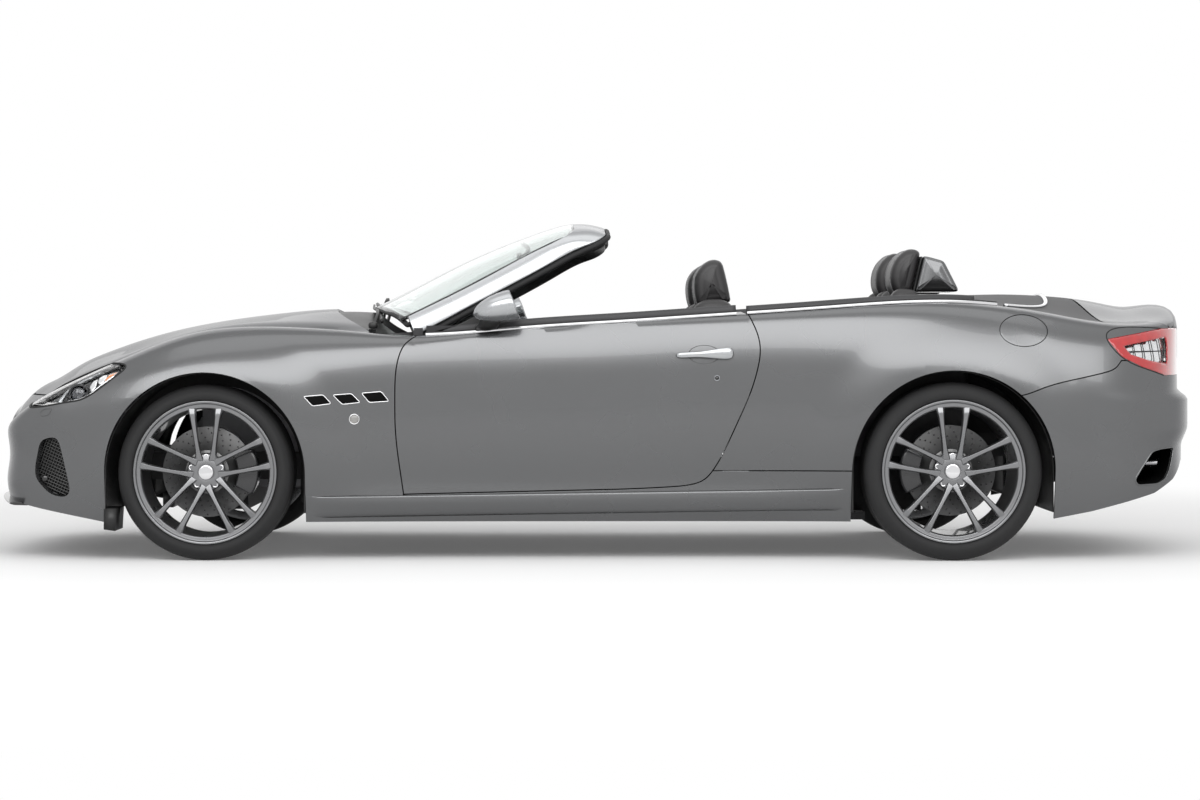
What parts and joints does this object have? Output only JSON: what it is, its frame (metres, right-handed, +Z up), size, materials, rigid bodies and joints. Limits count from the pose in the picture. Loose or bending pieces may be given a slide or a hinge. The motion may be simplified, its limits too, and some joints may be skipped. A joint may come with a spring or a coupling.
{
  "type": "convertible grand touring car",
  "caption": "Open four-seat, two-door grand touring car with its soft roof stowed under a cover; rolls on wheels, steers, and its doors, bonnet, boot lid and cover open.",
  "frame": {"origin": "on the ground, on the middle line, at the middle of the overall length", "axes": "+X towards the tail, +Y to the right-hand side of the car, +Z up"},
  "size_m": [4.9124, 2.055, 1.36],
  "materials": {
    "black_trim": "satin",
    "body_paint": "gloss",
    "brake_iron": "machined",
    "caliper_paint": "gloss",
    "carpet": "short pile",
    "chassis_steel": "satin",
    "chrome": "polished",
    "cover_cloth": "satin",
    "engine_metal": "cast",
    "glass": "clear",
    "headlamp_lens": "clear",
    "interior_trim": "satin",
    "leather": "soft grain",
    "silver_paint": "gloss",
    "tail_lamp_lens": "clear red",
    "tyre": "matt",
    "wheel_metal": "satin"
  },
  "bodies": {
    "chassis": {"front_bumper": "body_paint", "grille": "black_trim", "splitter": "black_trim", "rear_bumper": "body_paint", "filler_plate": "black_trim", "floor_pan": "carpet", "tunnel": "carpet", "bulkheads": "chassis_steel", "cowl": "black_trim", "seat_box": "chassis_steel", "boot_tub": "chassis_steel", "chassis_rails": "chassis_steel", "engine_block": "engine_metal", "front_suspension": "chassis_steel", "rear_suspension": "chassis_steel", "dashboard": "interior_trim", "windscreen_glass": "glass", "windscreen_frame": "silver_paint", "tail_pipes": "chrome", "rear_cushions": "leather", "rear_backs": "leather", "fenders": "body_paint", "headlamps": "headlamp_lens", "intake_meshes": "black_trim", "quarter_panels": "body_paint", "sills": "body_paint", "tail_lamps": "tail_lamp_lens", "hinge_pillars": "chassis_steel", "seat_cushions": "leather", "seat_bases": "chassis_steel", "seat_backs": "leather", "calipers_rear": "caliper_paint"},
    "steer_left": {"knuckle_front_left": "chassis_steel", "caliper_front_left": "caliper_paint"},
    "wheel_front_left": {"tyre_front_left": "tyre", "rim_front_left": "wheel_metal", "brake_disc_front_left": "brake_iron"},
    "wheel_rear_left": {"tyre_rear_left": "tyre", "rim_rear_left": "wheel_metal", "brake_disc_rear_left": "brake_iron"},
    "door_left_body": {"door_left": "body_paint", "mirror_left": "body_paint"},
    "steer_right": {"knuckle_front_right": "chassis_steel", "caliper_front_right": "caliper_paint"},
    "wheel_front_right": {"tyre_front_right": "tyre", "rim_front_right": "wheel_metal", "brake_disc_front_right": "brake_iron"},
    "wheel_rear_right": {"tyre_rear_right": "tyre", "rim_rear_right": "wheel_metal", "brake_disc_rear_right": "brake_iron"},
    "door_right_body": {"door_right": "body_paint", "mirror_right": "body_paint"},
    "steering_wheel_body": {"steering_wheel": "leather"},
    "bonnet_body": {"bonnet": "body_paint"},
    "boot_lid_body": {"boot_lid": "body_paint"},
    "soft_top_cover_body": {"soft_top_cover": "cover_cloth"},
    "fuel_flap_body": {"fuel_flap": "body_paint"}
  },
  "joints": [
    {"name": "steer_left", "type": "hinge", "parent": "chassis", "child": "steer_left", "pos_m": [-1.555, -0.748, 0.346], "axis": [0, 0, 1], "range_deg": [-33, 33]},
    {"name": "wheel_front_left_spin", "type": "hinge", "parent": "steer_left", "child": "wheel_front_left", "pos_m": [-1.555, -0.793, 0.346], "axis": [0, 1, 0], "continuous": true},
    {"name": "wheel_rear_left_spin", "type": "hinge", "parent": "chassis", "child": "wheel_rear_left", "pos_m": [1.387, -0.795, 0.351], "axis": [0, 1, 0], "continuous": true},
    {"name": "door_left_hinge", "type": "hinge", "parent": "chassis", "child": "door_left_body", "pos_m": [-0.80524, -0.926, 0.6], "axis": [0, 0, -1], "range_deg": [0, 65]},
    {"name": "steer_right", "type": "hinge", "parent": "chassis", "child": "steer_right", "pos_m": [-1.555, 0.748, 0.346], "axis": [0, 0, 1], "range_deg": [-33, 33]},
    {"name": "wheel_front_right_spin", "type": "hinge", "parent": "steer_right", "child": "wheel_front_right", "pos_m": [-1.555, 0.793, 0.346], "axis": [0, 1, 0], "continuous": true},
    {"name": "wheel_rear_right_spin", "type": "hinge", "parent": "chassis", "child": "wheel_rear_right", "pos_m": [1.387, 0.795, 0.351], "axis": [0, 1, 0], "continuous": true},
    {"name": "door_right_hinge", "type": "hinge", "parent": "chassis", "child": "door_right_body", "pos_m": [-0.80524, 0.926, 0.6], "axis": [0, 0, 1], "range_deg": [0, 65]},
    {"name": "steering_wheel_turn", "type": "hinge", "parent": "chassis", "child": "steering_wheel_body", "pos_m": [-0.33, -0.37, 0.885], "axis": [0.9272, 0, 0.3746], "range_deg": [-500, 500]},
    {"name": "bonnet_hinge", "type": "hinge", "parent": "chassis", "child": "bonnet_body", "pos_m": [-0.84, 0, 0.935], "axis": [0, 1, 0], "range_deg": [0, 50]},
    {"name": "boot_lid_hinge", "type": "hinge", "parent": "chassis", "child": "boot_lid_body", "pos_m": [1.985, 0, 1.062], "axis": [0, -1, 0], "range_deg": [0, 70]},
    {"name": "soft_top_cover_hinge", "type": "hinge", "parent": "chassis", "child": "soft_top_cover_body", "pos_m": [1.985, 0, 1.062], "axis": [0, -1, 0], "range_deg": [-60, 0]},
    {"name": "fuel_flap_hinge", "type": "hinge", "parent": "chassis", "child": "fuel_flap_body", "pos_m": [1.5706, -0.90876, 0.92251], "axis": [0, -0.4819, -0.8762], "range_deg": [0, 80]}
  ],
  "couplings": [
    {"joint": "steer_right", "follows": "steer_left", "ratio": 1},
    {"joint": "steering_wheel_turn", "follows": "steer_left", "ratio": 15}
  ]
}
